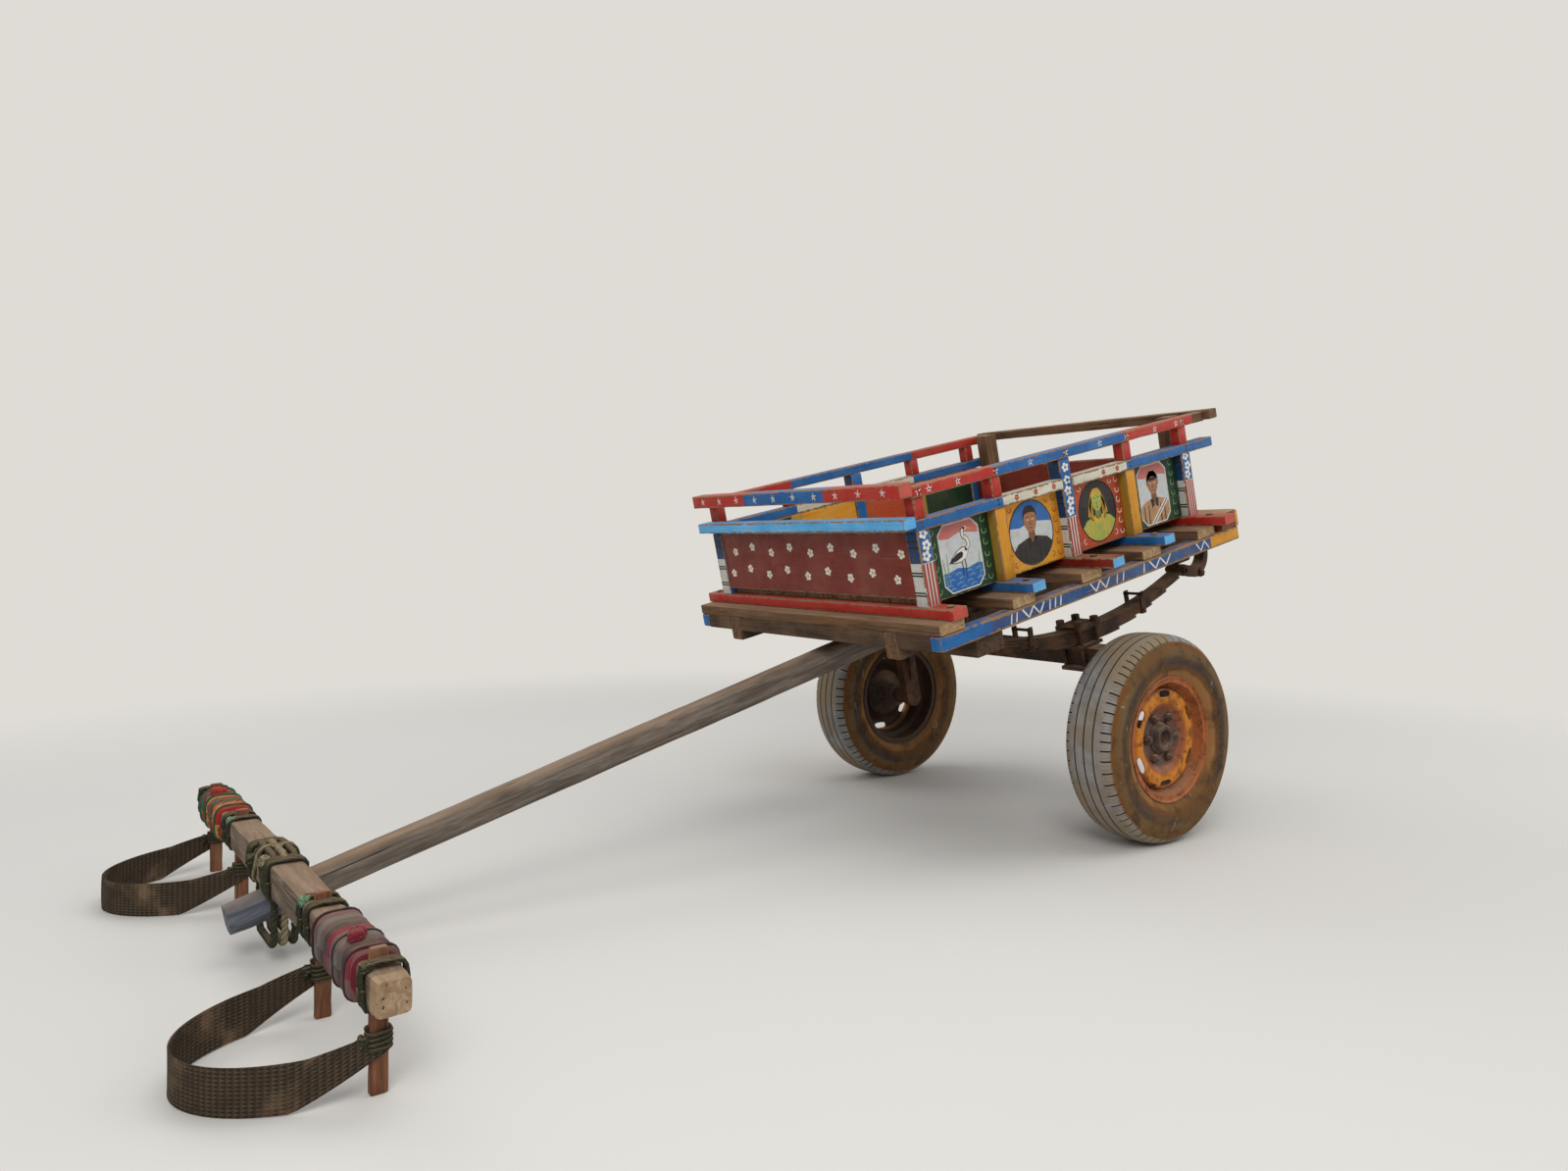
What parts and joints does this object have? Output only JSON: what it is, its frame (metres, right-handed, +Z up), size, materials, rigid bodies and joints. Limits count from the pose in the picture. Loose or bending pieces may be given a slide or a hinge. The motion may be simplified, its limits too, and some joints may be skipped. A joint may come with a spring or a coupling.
{
  "type": "bullock cart",
  "caption": "Bullock cart with painted timber body on leaf springs, dropped axle, pneumatic disc wheels, draught pole and lashed neck yoke.",
  "frame": {"origin": "on the ground, under the middle of the parked cart's length and width", "axes": "+X forward, the way it is drawn; +Y to its left; +Z up"},
  "size_m": [3.3726, 1.78, 1.4026],
  "materials": {
    "steel_rust": "rusty, dusty forged steel",
    "rubber_dark": "dusty rubber",
    "timber_dark": "bare dark timber, oily and dusty",
    "paint_blue": "blue gloss paint on timber",
    "paint_red": "red gloss paint on timber",
    "timber_deck": "bare worn boards",
    "paint_yellow": "yellow gloss paint on timber",
    "paint_red_brown": "red-brown paint on timber",
    "paint_blue_grey": "worn blue gloss paint on timber",
    "paint_green": "green gloss paint on timber",
    "timber_pole": "hewn log, greyed, traces of blue paint at the tip",
    "tyre_rubber": "worn, dusty",
    "rim_paint": "yellow-orange paint, rusted",
    "hub_rust": "rusty",
    "timber_pin": "red-brown hardwood",
    "wrap_cloth": "wound cotton strips",
    "strap_woven": "woven fibre strap",
    "rope_dark": "twisted rope",
    "timber_yoke": "hand-hewn, smoothed by use"
  },
  "bodies": {
    "cart": {"axle_beam": "steel_rust", "spring_hangers_front": "steel_rust", "spring_horns_rear": "steel_rust", "shackles": "steel_rust", "bump_blocks": "rubber_dark", "cross_members": "timber_dark", "floor_joists": "paint_blue", "floor_battens": "paint_red", "floor_boards": "timber_deck", "body_posts": "paint_yellow", "tail_uprights": "paint_red_brown", "panel_front": "paint_red_brown", "panel_rear": "paint_red_brown", "middle_rail_front": "paint_blue", "top_rail_front": "paint_red", "top_rail_rear": "timber_dark", "stanchions": "paint_red", "axle_drop_left": "steel_rust", "axle_drop_right": "steel_rust", "leaf_spring_left": "steel_rust", "leaf_spring_right": "steel_rust", "spring_clamp_left": "steel_rust", "spring_clamp_right": "steel_rust", "chassis_rail_left": "timber_dark", "chassis_rail_right": "timber_dark", "sill_left": "paint_blue_grey", "sill_right": "paint_blue_grey", "panel_left": "paint_green", "panel_right": "paint_green", "middle_rail_left": "paint_blue", "middle_rail_right": "paint_blue", "top_rail_left": "paint_red", "top_rail_right": "paint_red", "pole": "timber_pole"},
    "wheel_left": {"tyre_left": "tyre_rubber", "rim_left": "rim_paint", "hub_left": "hub_rust"},
    "wheel_right": {"tyre_right": "tyre_rubber", "rim_right": "rim_paint", "hub_right": "hub_rust"},
    "yoke": {"yoke_pins": "timber_pin", "neck_wrap_left": "wrap_cloth", "neck_wrap_right": "wrap_cloth", "neck_strap_left": "strap_woven", "neck_strap_right": "strap_woven", "pole_lashing": "rope_dark", "yoke_beam": "timber_yoke"}
  },
  "joints": [
    {"name": "wheel_left_spin", "type": "hinge", "parent": "cart", "child": "wheel_left", "pos_m": [-1.04902, 0.621, 0.325], "axis": [0, 1, 0], "continuous": true},
    {"name": "wheel_right_spin", "type": "hinge", "parent": "cart", "child": "wheel_right", "pos_m": [-1.04902, -0.621, 0.325], "axis": [0, 1, 0], "continuous": true},
    {"name": "yoke_swing", "type": "hinge", "parent": "cart", "child": "yoke", "pos_m": [1.38334, 0, 0.16], "axis": [0, 0, 1], "range_deg": [-25, 25]}
  ]
}
